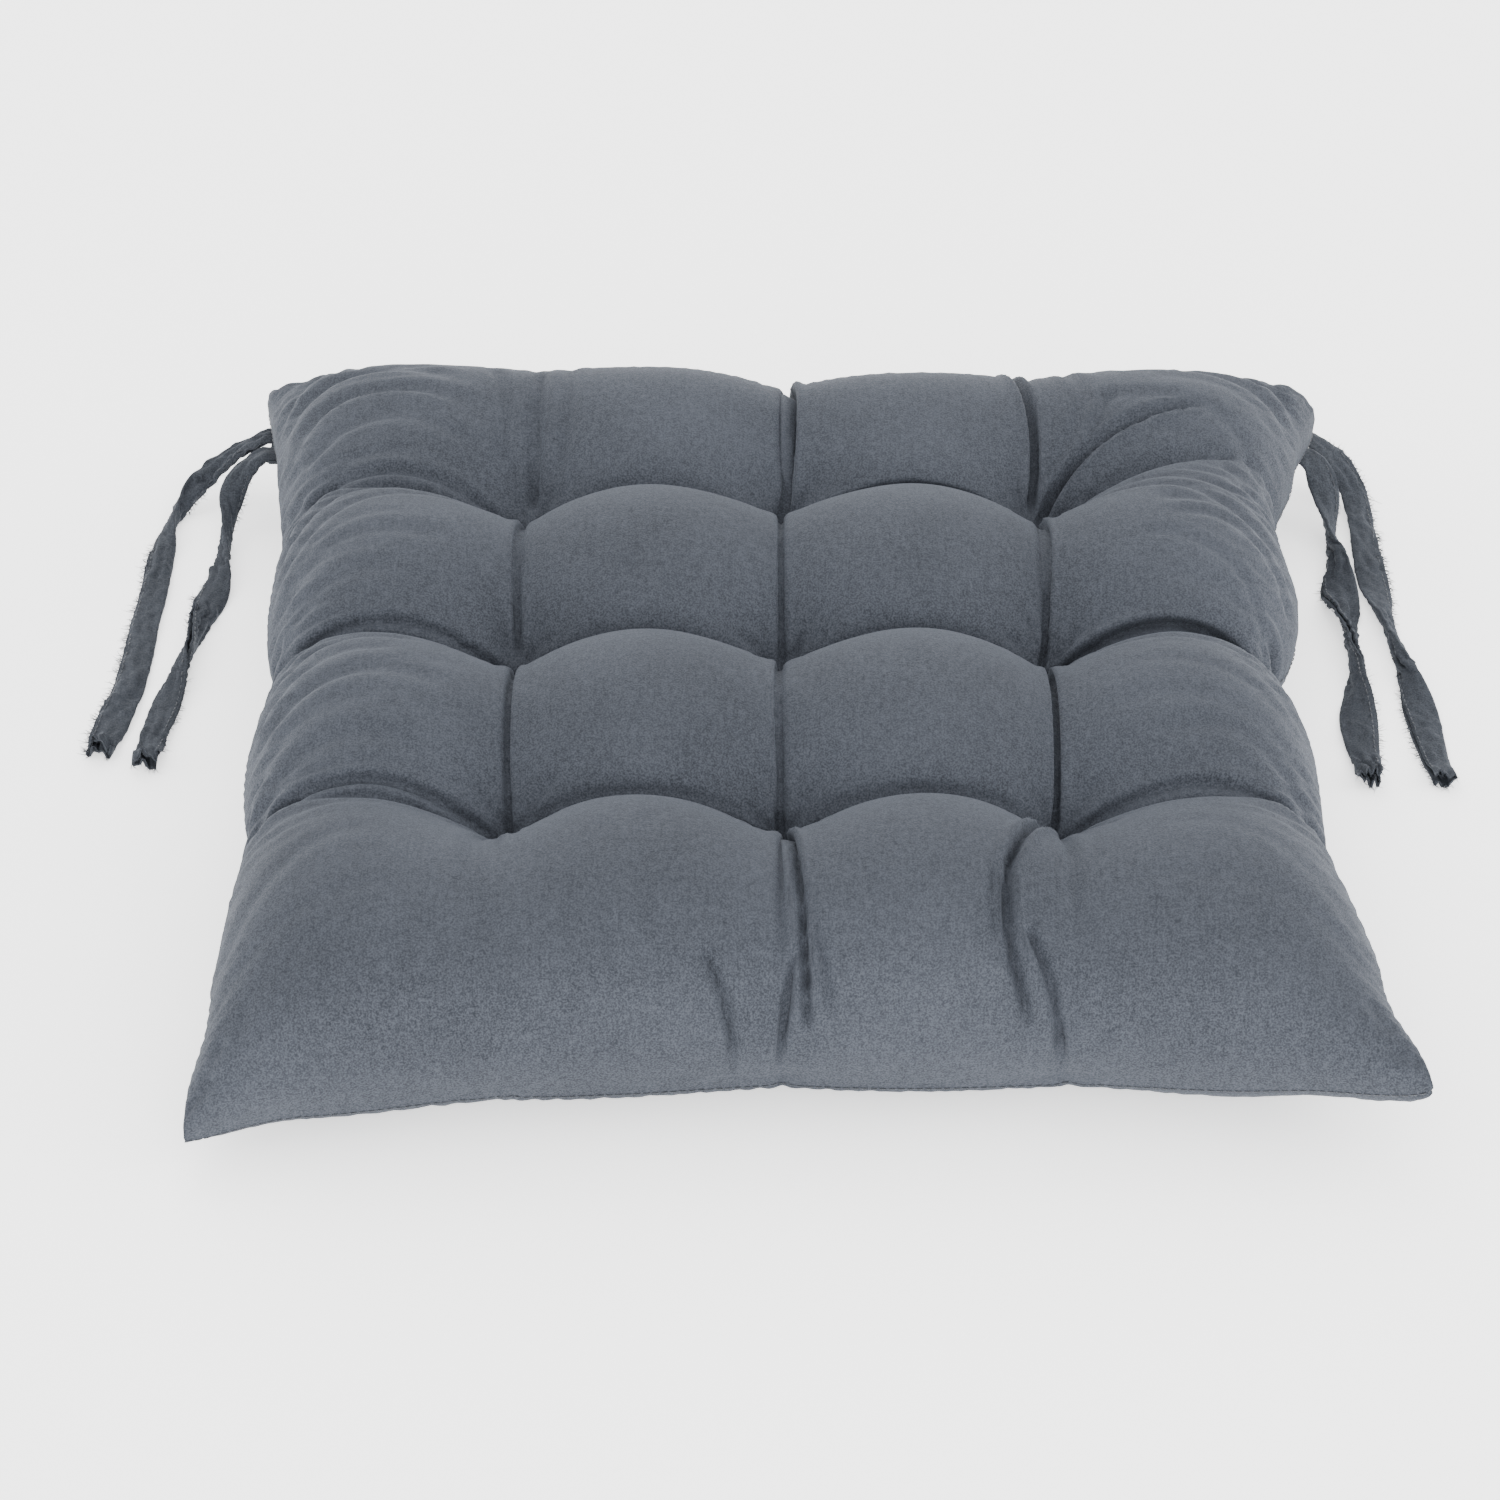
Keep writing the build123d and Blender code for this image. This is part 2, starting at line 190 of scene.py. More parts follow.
# ---- stuffing and seam ----
FILLING_SHARE = 0.7  # the stuffing's thickness, as a share of the pad's
FILLING_INSET = 8 * MM  # how far the stuffing stays behind the cover's sides
FILLING_MARGIN = 6  # grid points between the stuffing's edge and the seam
FILLING_STEP = 3  # the stuffing has every third point of the grid
FILLING_LOOK = (-4, -2, 0, 2, 4)  # neighbours that it stays below as well
SEAM_GROOVE = 0.9 * MM  # how far the seam is drawn in
SEAM_STITCH = 3.0 * MM
SEAM_THREAD = 0.22 * MM
SEAM_STITCH_GAP = 0.1  # between a stitch's end and its hole, as a share of its length
THREAD_SIDES = 6
# share of the way along a stitch, its thickness and its lift, both in thread radii
STITCH_PROFILE = ((0.0, 0.45, -0.6), (0.15, 1.0, 0.2), (0.5, 1.1, 0.6), (0.85, 1.0, 0.2), (1.0, 0.45, -0.6))

# ---- ties ----
TIE_CLOTH = 0.7 * MM
TIE_STATION = 1.5 * MM
ROOT = 7.0 * MM  # how far a tie's root runs into the pad
TIE_CLEARANCE = 0.3 * MM  # over the floor
FLOOR_STRETCH = 4.5 * MM  # a tie lies down where its middle is lower than this
FLOOR_SOFTENING = 4  # stations over which a tie comes down
LAYER_POINTS = 13  # points across each of the two layers of a tie
BEND_POINTS = 3  # points round its fold
RAW_EDGE_OVERHANG = 0.12  # how far the raw edge stands out past the layer below, as a share of the width
LAYER_FLATNESS = 0.55  # the layers' distance at their edges, as a share of the gap between them
LAYER_PUFF = 0.75  # and how much more it is in their middle
WAVE_ACROSS = 4.5  # half turns of the finer wave across a tie
TIE_SOFTENING = 6  # stations over which widths, turns and waves change
TIE_WAVE_HEIGHTS = (0.45 * MM, 0.5 * MM)  # of the long and the finer wave across a tie
TIE_WAVE_SHIFT = 2  # how much the waves wander from station to station
TIE_UNEVENNESS = 3.6  # makes up for the softening of what is drawn by chance
TIE_GAP = 1.5 * MM  # between the layers
GATHERED_WIDTH = 11 * MM  # a tie narrower than this is gathered
GATHERED_GAP = 3.2 * MM
OPEN_GAP = 2.6 * MM  # how far the layers open at the cut end
OPEN_SHARE = 0.045  # the last share of a tie over which they do
FRAY_LENGTH = (0.5 * MM, 2.0 * MM)
# share of the way along a loose fibre, and its radius
FRAY_PROFILE = ((0, 0.09 * MM), (0.5, 0.07 * MM), (1, 0.03 * MM))
FRAY_ANGLES = (0, 2.1, 4.2)  # a fibre's three edges
FRAY_CURL = 0.35
FRAY_SPREAD = 0.45  # how far fibres stray from square to the raw edge
END_FRAYS = 90  # fibres round each cut end
END_FRAY_SPREAD = 0.5
TIE_STITCH = 2.6 * MM
TIE_STITCH_GAP = 0.12
TIE_STITCH_INSET = 2  # points between the stitches and a tie's edge
FIRST_STITCH = 12  # stations from the tie's root inside the pad
LAST_STITCH = 2  # stations from its cut end
TIE_THREAD = 0.2 * MM
STITCH_CLEARANCE = 0.1 * MM  # over the floor

# the route of each tie's middle from the seam to its cut end
TIE_ROUTES = {
    "outer_left": (
        (-0.2022, 0.196, 0.025), (-0.212, 0.1965, 0.0205), (-0.225, 0.192, 0.0115), (-0.2355, 0.1815, 0.0045),
        (-0.240, 0.1655, 0.002), (-0.2415, 0.1455, 0.002), (-0.2412, 0.124, 0.002), (-0.2426, 0.101, 0.002),
        (-0.2428, 0.078, 0.002), (-0.244, 0.056, 0.002), (-0.2475, 0.036, 0.002), (-0.250, 0.018, 0.002),
    ),
    "inner_left": (
        (-0.2022, 0.183, 0.025), (-0.2085, 0.181, 0.0225), (-0.214, 0.174, 0.0155), (-0.216, 0.161, 0.007),
        (-0.2165, 0.1415, 0.002), (-0.218, 0.1215, 0.002), (-0.2208, 0.1015, 0.002), (-0.2225, 0.081, 0.002),
        (-0.226, 0.0615, 0.002), (-0.2282, 0.0425, 0.002), (-0.2302, 0.0255, 0.002), (-0.2305, 0.0105, 0.002),
    ),
    "inner_right": (
        (0.2022, 0.183, 0.025), (0.2085, 0.181, 0.0225), (0.213, 0.174, 0.0155), (0.2136, 0.161, 0.007),
        (0.2138, 0.142, 0.002), (0.213, 0.1215, 0.002), (0.2134, 0.100, 0.002), (0.2145, 0.0785, 0.002),
        (0.2142, 0.057, 0.002), (0.2128, 0.0365, 0.002), (0.2124, 0.0165, 0.002), (0.2136, -0.003, 0.002),
    ),
    "outer_right": (
        (0.2022, 0.196, 0.025), (0.2115, 0.1965, 0.021), (0.2215, 0.192, 0.0125), (0.2268, 0.181, 0.005),
        (0.2276, 0.165, 0.002), (0.227, 0.145, 0.002), (0.228, 0.1235, 0.002), (0.2286, 0.1015, 0.002),
        (0.2312, 0.0795, 0.002), (0.233, 0.058, 0.002), (0.2358, 0.0375, 0.002), (0.2366, 0.017, 0.002),
        (0.2384, -0.003, 0.002),
    ),
}
# share of the way along each tie from its root, its width in mm and how many half turns it has made
TIE_SHAPES = {
    "outer_left": (
        (0, 8, 0), (0.15, 10.5, 0), (0.27, 5.5, 0.5), (0.38, 10, 1), (0.62, 11, 1), (0.8, 12, 1),
        (0.93, 13.6, 1), (1, 10, 1),
    ),
    "inner_left": (
        (0, 9, 0), (0.12, 11, 0), (0.24, 5.5, 0.5), (0.42, 12.7, 1), (0.63, 7, 1.5), (0.78, 11.5, 2),
        (1, 9, 2),
    ),
    "inner_right": (
        (0, 9, 0), (0.12, 13, 0), (0.25, 8, 0.5), (0.42, 15, 1), (0.61, 7.5, 1.5), (0.82, 14.5, 2), (1, 8, 2),
    ),
    "outer_right": (
        (0, 8, 0), (0.1, 12, 0), (0.27, 10, 0.1), (0.45, 12, 0), (0.65, 7, 0.5), (0.82, 12.7, 1), (1, 8, 1),
    ),
}
# loose fibres along each raw edge
FRAYS = {"outer_left": 520, "inner_left": 240, "inner_right": 200, "outer_right": 620}

# ---- colours on an 8 bit screen, dark and light ----
COVER_COLOURS = ((28, 31, 37), (66, 70, 78))
TIE_COLOURS = ((24, 27, 32), (56, 60, 67))
THREAD_COLOURS = ((34, 37, 43), (58, 62, 69))
FILLING_COLOURS = ((215, 215, 212), (246, 246, 243))
SHEEN_COLOUR = (190, 200, 215)

# ---- studio ----
CAMERA_TARGET = (-0.0114, 0.0218, 0)
CAMERA_AZIMUTH = math.radians(0.60)
CAMERA_HEIGHT = math.radians(36.6)
CAMERA_ROLL = math.radians(-0.58)
CAMERA_DISTANCE = 1.629
CAMERA_LENS = 106.8
SENSOR = 36.0
# each light's name, place, size and power in watts
LIGHTS = (
    ("light_front", (0.3, -2.1, 1.1), 1.6, 44),
    ("light_rear", (-0.4, 1.5, 1.7), 1.6, 26),
    ("light_left", (-1.7, 0.1, 1.3), 1.4, 8),
    ("light_right", (1.7, 0.1, 1.3), 1.4, 20),
)
WORLD_STRENGTH = 2.0
FLOOR_GLOW = 1.0
FLOOR_REACH = 12


def crowded_places(count):
    """Places from seam to seam that are closest together on the tuft lines."""
    even = np.linspace(-EDGE, EDGE, count)
    return even - np.where(np.abs(even) < CROWDED_REACH, CROWDING * np.sin(2 * math.pi * even), 0)


FINE_T = crowded_places(FINE_GRID)


# ---- the smooth shape -------------------------------------------------------
def grid_positions(t):
    """Each point's place along X and along Y, in tufts."""
    return np.meshgrid(t, t, indexing="ij")


def past_tufts(t):
    """0 up to the outer tuft line and 1 at the seam."""
    return np.clip((np.abs(t) - 1) / (EDGE - 1), 0, 1)


def eased(x, marks):
    """A smooth curve through the marks, level at each one."""
    places, values = np.array(marks, float).T
    after = np.clip(np.searchsorted(places, x, side="right"), 1, len(places) - 1)
    share = np.clip((x - places[after - 1]) / (places[after] - places[after - 1]), 0, 1)
    return values[after - 1] + (values[after] - values[after - 1]) * (1 - np.cos(math.pi * share)) / 2


def spread(t, other, reach):
    """Distance from the middle of the pad at place t, where the seam's reach changes along the side."""
    far = past_tufts(t)
    seam = eased(other, reach) * MM
    share = 1 - (1 - far) ** WALL_SHARE
    outer = TUFT_PITCH + share * (seam - TUFT_PITCH) + WALL_BULGE * np.sin(math.pi * far)
    return np.where(np.abs(t) < 1, np.abs(t) * TUFT_PITCH, outer)


def rise(t):
    """0 on a tuft line and 1 on a crown."""
    inner = np.abs(np.sin(np.pi * t)) ** CREASE_SHARPNESS
    outer = np.sin(0.5 * np.pi * np.clip(past_tufts(t) / CROWN_SHARE, 0, 1)) ** CREASE_SHARPNESS
    return np.where(np.abs(t) < 1, inner, outer)


def crease_depth(across, along, creases):
    """How deep the nearest crease is at each point."""
    low, middle, high = (np.interp(along, CREASE_MARKS, depths) for depths in creases)
    line = np.rint(across)
    return np.where(line < 0, low, np.where(line > 0, high, middle))


def edge_fullness(far_u, far_v, square):
    """1 inside the outer tufts and 0 at the seam; square is 1 for a full corner and 0 for a tapered one."""
    across, along = 1 - far_u**FULL_POWER, 1 - far_v**FULL_POWER
    tapered = across * along
    full = (across + along - np.hypot(across - along, CORNER_ROUNDING)) / 2
    return tapered + square * np.clip(full - tapered, 0, 1)


def seam_height(u, heights):
    """The seam's height along the front or the rear, which is level from the middle to the right tuft."""
    left, middle, right = heights
    return np.interp(u, (-EDGE, 0, 1, EDGE), (left, middle, middle, right))


def smooth_shape(t):
    """Top and bottom of the stuffed pad without a wrinkle, as two grids of points."""
    u, v = grid_positions(t)
    across = 1 - (1 - rise(u)) * crease_depth(u, v, COLUMN_CREASES)
    lean = ROW_LEAN * np.clip(u - 1, 0, 1) * np.exp(-(((v - 1) / ROW_LEAN_REACH) ** 2))
    along = 1 - (1 - rise(v - lean)) * crease_depth(v - lean, u, ROW_CREASES)
    full = edge_fullness(past_tufts(u), past_tufts(v), SQUARE_CORNERS * np.clip(v, 0, 1)) ** FULLNESS
    front, rear = seam_height(u, FRONT_SEAM), seam_height(u, REAR_SEAM)
    seam = front + (rear - front) * (v / EDGE + 1) / 2
    hills = COLUMN_RISE * across + ROW_RISE * along + PUFF_RISE * across * along
    top = TUFT_TOP + hills * (1 - eased(u, REAR_LOSS) * np.clip(v - 1, 0, 1))
    bottom = TUFT_BOTTOM - PUFF_DROP * (across + along) / 2
    points = np.zeros((2, len(t), len(t), 3))
    points[..., 0] = np.where(u < 0, -spread(u, v, LEFT_REACH), spread(u, v, RIGHT_REACH))
    points[..., 1] = np.where(v < 0, -spread(v, u, FRONT_REACH), spread(v, u, REAR_REACH))
    points[0, ..., 2] = seam + full * (top - seam)
    points[1, ..., 2] = seam + full * (bottom - seam)
    return points


# ---- the cloth simulation ---------------------------------------------------
def tuft_pins(t):
    """Grid places that the tufts hold, with where they hold them."""
    gap = t[1] - t[0]
    reach = int(round(TACK_HALF / TUFT_PITCH / gap))
    pins = []
    for column, row in TUFTS:
        i = int(round((column + EDGE) / gap))
        j = int(round((row + EDGE) / gap))
        for k in range(-reach, reach + 1):
            x = column * TUFT_PITCH + k * TACK_HALF / max(reach, 1)
            pins.append((i + k, j, x, row * TUFT_PITCH))
    return pins


def gathers(t):
    """Extra cloth along X and along Y, as a factor on its length."""
    u, v = grid_positions(t)
    near = np.zeros_like(u)
    for column, row in TUFTS:
        away = ((u - column) ** 2 + (v - row) ** 2) / TUFT_GATHER_REACH**2
        near = np.maximum(near, np.exp(-away))
    end_gather = np.where(v > 0, REAR_GATHER, FRONT_GATHER) * past_tufts(v) ** 2
    side_gather = SIDE_GATHER * past_tufts(u) ** 2
    return 1 + end_gather + TUFT_GATHER * near, 1 + side_gather + TUFT_GATHER * near


def neighbour_slices(step_i, step_j, count):
    """Pairs of grid slices that hold each point at most once, so that each pair moves at one go."""
    every = slice(None)
    step = step_i or step_j
    pairs = []
    for start in range(2 * step):
        first = slice(start, count - step, 2 * step)
        second = slice(start + step, count, 2 * step)
        if not step_i:
            pairs.append(((every, every, first), (every, every, second)))
        elif step_j > 0:
            pairs.append(((every, first, slice(0, -step_j)), (every, second, slice(step_j, None))))
        elif step_j < 0:
            pairs.append(((every, first, slice(-step_j, None)), (every, second, slice(0, step_j))))
        else:
            pairs.append(((every, first, every), (every, second, every)))
    return pairs


def cloth_links(smooth, free, t):
    """Every stretch, shear and bend link: its ends, length, stiffness and how its ends share a move."""
    along_x, along_y = gathers(t)
    kinds = (
        (1, 0, 1.0, along_x),
        (0, 1, 1.0, along_y),
        (1, 1, STIFF_SHEAR, (along_x + along_y) / 2),
        (1, -1, STIFF_SHEAR, (along_x + along_y) / 2),
        (2, 0, STIFF_BEND, np.ones_like(along_x)),
        (0, 2, STIFF_BEND, np.ones_like(along_x)),
    )
    links = []
    for step_i, step_j, stiff, extra in kinds:
        for a, b in neighbour_slices(step_i, step_j, len(t)):
            rest = np.linalg.norm(smooth[b] - smooth[a], axis=-1) * extra[a[1:]]
            total = free[a] + free[b] + TINY_SHARE
            links.append((a, b, rest, stiff, (free[a] / total)[..., None], (free[b] / total)[..., None]))
    return links


def pull_together(points, link):
    """Moves the ends of one group of links towards the links' lengths."""
    a, b, rest, stiff, share_a, share_b = link
    delta = points[b] - points[a]
    length = np.sqrt(np.einsum("...k,...k", delta, delta)) + TINY
    move = delta * (stiff * (length - rest) / length)[..., None]
    points[a] += move * share_a
    points[b] -= move * share_b


def sew_edges(points):
    """Keeps both panels' edges on one seam."""
    for edge in (np.s_[:, 0], np.s_[:, -1], np.s_[:, :, 0], np.s_[:, :, -1]):
        points[edge] = points[edge].mean(axis=0)


def stuffing_force(points, spacing):
    """The stuffing's push out of both panels, and the pad's weight."""
    scale = (spacing / FORCE_GRID) ** 2
    push = np.cross(np.gradient(points, axis=1), np.gradient(points, axis=2))
    force = push * (PRESSURE * scale / spacing**2)
    force[1] *= -1
    force[..., 2] -= WEIGHT * scale
    return force


def settle(points, t, steps):
    """Runs the cloth for some steps."""
    free = np.ones(points.shape[:-1])
    pins = tuft_pins(t)
    for i, j, _, _ in pins:
        free[:, i, j] = 0
    links = cloth_links(smooth_shape(t), free, t)
    spacing = (t[1] - t[0]) * TUFT_PITCH
    velocity = np.zeros_like(points)
    for _ in range(steps):
        for i, j, x, y in pins:
            points[0, i, j] = (x, y, TUFT_TOP)
            points[1, i, j] = (x, y, TUFT_BOTTOM)
        velocity = (velocity + stuffing_force(points, spacing)) * DAMPING * free[..., None]
        before = points.copy()
        points += velocity
        for _ in range(RELAX_ROUNDS):
            for link in links:
                pull_together(points, link)
            sew_edges(points)
            np.maximum(points[..., 2], 0, out=points[..., 2])
        velocity = points - before
        velocity[points[..., 2] <= ON_FLOOR] *= FLOOR_DRAG
    return points


def resample(points, t):
    """The same surface with its points at other places along each side."""
    return resample_first(resample_first(points, t).transpose(0, 2, 1, 3), t).transpose(0, 2, 1, 3)


def resample_first(points, t):
    """A Catmull-Rom curve through the points along the first grid direction, read at the places t."""
    last = points.shape[1] - 1
    place = (t + EDGE) / (2 * EDGE) * last
    i = np.clip(place.astype(int), 0, last - 1)
    f = (place - i)[None, :, None, None]
    p0, p1, p2, p3 = (points[:, np.clip(i + k, 0, last)] for k in (-1, 0, 1, 2))
    return p1 + 0.5 * f * (p2 - p0 + f * (2 * p0 - 5 * p1 + 4 * p2 - p3 + f * (3 * (p1 - p2) + p3 - p0)))


def settled_cover():
    """Both panels after every round of the simulation, on the finest grid."""
    points = None
    for level, (count, steps) in enumerate(GRIDS):
        t = np.linspace(-EDGE, EDGE, count)
        points = smooth_shape(t) if points is None else resample(points, t)
        points[..., 2] += rng.normal(0, START_NOISE / (level + 1) ** 3, points.shape[:-1])
        points = settle(points, t, steps)
    return resample(points, FINE_T)


# ---- folds that stay in the cloth -------------------------------------------
def curve_through(a, b, c, count):
    """Points of a smooth curve from a to c that passes b halfway."""
    s = np.linspace(0, 1, count)[:, None]
    a, b, c = (np.array(p, float) for p in (a, b, c))
    return a * (1 - s) * (1 - 2 * s) + 4 * b * s * (1 - s) + c * s * (2 * s - 1)


def on_surface(panel, places):
    """Points of one panel at places in tufts."""
    last = len(panel) - 1
    at = np.clip(np.interp(places, FINE_T, np.arange(last + 1)), 0, last - 1e-6)
    i = at.astype(int)
    f = at - i
    fu, fv = f[:, :1], f[:, 1:]
    near = panel[i[:, 0], i[:, 1]] * (1 - fv) + panel[i[:, 0], i[:, 1] + 1] * fv
    far = panel[i[:, 0] + 1, i[:, 1]] * (1 - fv) + panel[i[:, 0] + 1, i[:, 1] + 1] * fv
    return near * (1 - fu) + far * fu


def normals_of(panel):
    """Unit normals of a grid of points, upwards for the top panel's order."""
    normal = np.cross(np.gradient(panel, axis=0), np.gradient(panel, axis=1))
    return normal / (np.linalg.norm(normal, axis=-1, keepdims=True) + TINY)


def press_fold(height, panel, fold):
    """Adds one fold to a panel's height field: a crease with a low ridge on both sides."""
    a, b, c, depth, half = fold
    line = on_surface(panel, curve_through(a, b, c, FOLD_SAMPLES))
    share = np.linspace(0, 1, FOLD_SAMPLES)
    fade = np.clip(share / FOLD_FADE_IN, 0, 1) * np.clip((1 - share) / FOLD_FADE_OUT, 0, 1)
    reach = FOLD_REACH * half * MM
    low, high = line.min(axis=0) - reach, line.max(axis=0) + reach
    close = np.all((panel >= low) & (panel <= high), axis=-1)
    away = np.linalg.norm(panel[close][:, None] - line[None], axis=-1)
    nearest = away.argmin(axis=1)
    d = away[np.arange(len(away)), nearest] / (half * MM)
    profile = FOLD_RIDGE * np.exp(-((d - RIDGE_PLACE) ** 2)) - np.exp(-(d**2))
    height[close] += profile * depth * MM * fade[nearest]


def side_folds(side):
    """Long shallow arcs that run in from a side seam, drawn by chance but always the same."""
    folds = []
    for low, high, count, depth in SIDE_FOLD_ROWS:
        for v in np.linspace(low, high, count) + rng.uniform(-SIDE_FOLD_SHIFT, SIDE_FOLD_SHIFT, count):
            inner = rng.uniform(*SIDE_FOLD_END)
            edge_place = (side * SIDE_FOLD_START, v - rng.uniform(*SIDE_FOLD_LEAN))
            middle_place = (side * (SIDE_FOLD_START + inner) / 2, v + rng.uniform(*SIDE_FOLD_BOW))
            inner_place = (side * inner, v + rng.uniform(*SIDE_FOLD_TIP))
            depth_here = depth * rng.uniform(*SIDE_FOLD_DEPTHS)
            folds.append((edge_place, middle_place, inner_place, depth_here, rng.uniform(*SIDE_FOLD_HALF)))
    return folds


def seam_puckers(side, count, depth):
    """Short folds that start at the front or rear seam and die out up the puff."""
    folds = []
    even = np.linspace(-PUCKER_REACH, PUCKER_REACH, count)
    for u in even + rng.uniform(-PUCKER_SHIFT, PUCKER_SHIFT, count):
        length = rng.uniform(*PUCKER_LENGTH)
        lean = rng.uniform(-PUCKER_LEAN, PUCKER_LEAN)
        places = [(u + lean * k, side * (PUCKER_START - length * k)) for k in (0, 0.5, 1)]
        folds.append((*places, depth * rng.uniform(*PUCKER_DEPTHS), rng.uniform(*PUCKER_HALF)))
    return folds


def tuft_pleats(column, row):
    """Small pleats that run out from a tuft's bar of thread."""
    folds = []
    even = np.linspace(0, 2 * math.pi, PLEATS, endpoint=False)
    for angle in even + rng.uniform(-PLEAT_TURN, PLEAT_TURN, PLEATS):
        length = rng.uniform(*PLEAT_LENGTH)
        step = np.array((math.cos(angle), math.sin(angle)))
        places = [tuple(np.array((column, row)) + step * (PLEAT_START + length * k)) for k in (0, 0.5, 1)]
        folds.append((*places, rng.uniform(*PLEAT_DEPTHS), rng.uniform(*PLEAT_HALF)))
    return folds


def tight_creases():
    """The line where two puffs press on each other, slightly bowed, between every two tufts."""
    folds = []
    for line, columns, rows in zip((-1, 0, 1), COLUMN_TIGHT, ROW_TIGHT):
        for start in (-1, 0):
            bow = rng.uniform(-TIGHT_BOW, TIGHT_BOW)
            first, last = start - TIGHT_OVERLAP, start + 1 + TIGHT_OVERLAP
            places = [(line, first), (line + bow, start + 0.5), (line, last)]
            folds.append((*places, columns[start + 1], TIGHT_HALF))
            folds.append((*[(b, a) for a, b in places], rows[start + 1], TIGHT_HALF))
    return folds


def fold_cover(points):
    """Presses every fold into both panels."""
    pleats = [fold for column, row in TUFTS for fold in tuft_pleats(column, row)]
    shared = pleats + side_folds(-1) + side_folds(1)
    shared += seam_puckers(1, *REAR_PUCKERS) + seam_puckers(-1, *FRONT_PUCKERS)
    thickness = points[0, ..., 2] - points[1, ..., 2]
    for panel, outwards, folds in ((0, 1, shared + tight_creases() + list(MAIN_FOLDS)), (1, -1, shared)):
        height = np.zeros(points.shape[1:3])
        for fold in folds:
            press_fold(height, points[panel], fold)
        height = np.maximum(height, -FOLD_LIMIT * thickness)
        height[[0, -1]] = 0
        height[:, [0, -1]] = 0
        points[panel] += normals_of(points[panel]) * (outwards * height)[..., None]
    np.maximum(points[..., 2], 0, out=points[..., 2])
    return points


# ---- meshes -----------------------------------------------------------------
def new_object(name, vertices, faces, smooth=True):
    """A mesh object in the scene."""
    mesh = bpy.data.meshes.new(name)
    mesh.from_pydata(np.asarray(vertices).tolist(), [], [list(map(int, f)) for f in faces])
    mesh.polygons.foreach_set("use_smooth", [smooth] * len(mesh.polygons))
    mesh.update()
    made = bpy.data.objects.new(name, mesh)
    bpy.context.scene.collection.objects.link(made)
    return made


def grid_faces(index):
    """Quads of a grid of vertex numbers."""
    quads = np.stack([index[:-1, :-1], index[1:, :-1], index[1:, 1:], index[:-1, 1:]], -1)
    return quads.reshape(-1, 4)


def seam_loop(count):
    """Grid places of the seam, once round."""
    last = count - 1
    front = [(i, 0) for i in range(last)]
    right = [(last, j) for j in range(last)]
    rear = [(last - i, last) for i in range(last)]
    left = [(0, last - j) for j in range(last)]
    return front + right + rear + left


def both_panels(name, points):
    """One closed mesh from two panels that share their seam."""
    count = points.shape[1]
    top = np.arange(count * count).reshape(count, count)
    bottom = top.copy()
    inner = count - 2
    bottom[1:-1, 1:-1] = count * count + np.arange(inner * inner).reshape(inner, inner)
    vertices = np.vstack([points[0].reshape(-1, 3), points[1, 1:-1, 1:-1].reshape(-1, 3)])
    faces = np.vstack([grid_faces(top), grid_faces(bottom)[:, ::-1]])
    return new_object(name, vertices, faces)


def groove_seam(points):
    """Draws the seam in a little, so that both panels roll into it."""
    for place in seam_loop(points.shape[1]):
        edge = points[0][place]
        inwards = edge * (-1, -1, 0)
        points[:, place[0], place[1]] = edge + inwards / np.linalg.norm(inwards) * SEAM_GROOVE
    return points


def make_cover():
    """The stuffed cover and the points it is made of."""
    points = groove_seam(fold_cover(settled_cover()))
    cover = both_panels("pad_cover", points)
    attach(cover, "pad")
    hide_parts("cover_top", "cover_bottom")
    return cover, points


def make_filling(points):
    """The stuffing, which follows the cover a little way inside it."""
    margin, step = FILLING_MARGIN, FILLING_STEP
    inner = points[:, margin:-margin:step, margin:-margin:step].copy()
    for panel, pick in ((0, np.minimum), (1, np.maximum)):
        for i, j in itertools.product(FILLING_LOOK, repeat=2):
            near = points[panel, margin + i : i - margin : step, margin + j : j - margin : step, 2]
            inner[panel, ..., 2] = pick(inner[panel, ..., 2], near)
    middle = inner.mean(axis=0)
    panels = middle + (inner - middle) * FILLING_SHARE
    for axis, places in enumerate(grid_positions(FINE_T)):
        past = places[margin:-margin:step, margin:-margin:step]
        panels[..., axis] -= np.sign(past) * past_tufts(past) ** 2 * FILLING_INSET
    count = panels.shape[1]
    index = np.arange(2 * count * count).reshape(2, count, count)
    loop = seam_loop(count)
    following = loop[1:] + loop[:1]
    wall = [(index[1][a], index[1][b], index[0][b], index[0][a]) for a, b in zip(loop, following)]
    faces = [*grid_faces(index[0]), *grid_faces(index[1])[:, ::-1], *wall]
    filling = new_object("stuffing", panels.reshape(-1, 3), faces)
    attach(filling, "pad")
    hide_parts("fibre_filling")
    return filling


def even_points(line, step):
    """Points along a line at an even spacing."""
    line = np.asarray(line, float)
    along = np.concatenate([[0], np.cumsum(np.linalg.norm(np.diff(line, axis=0), axis=1))])
    count = max(2, int(round(along[-1] / step)) + 1)
    at = np.linspace(0, along[-1], count)
    return np.stack([np.interp(at, along, line[:, k]) for k in range(3)], axis=1)


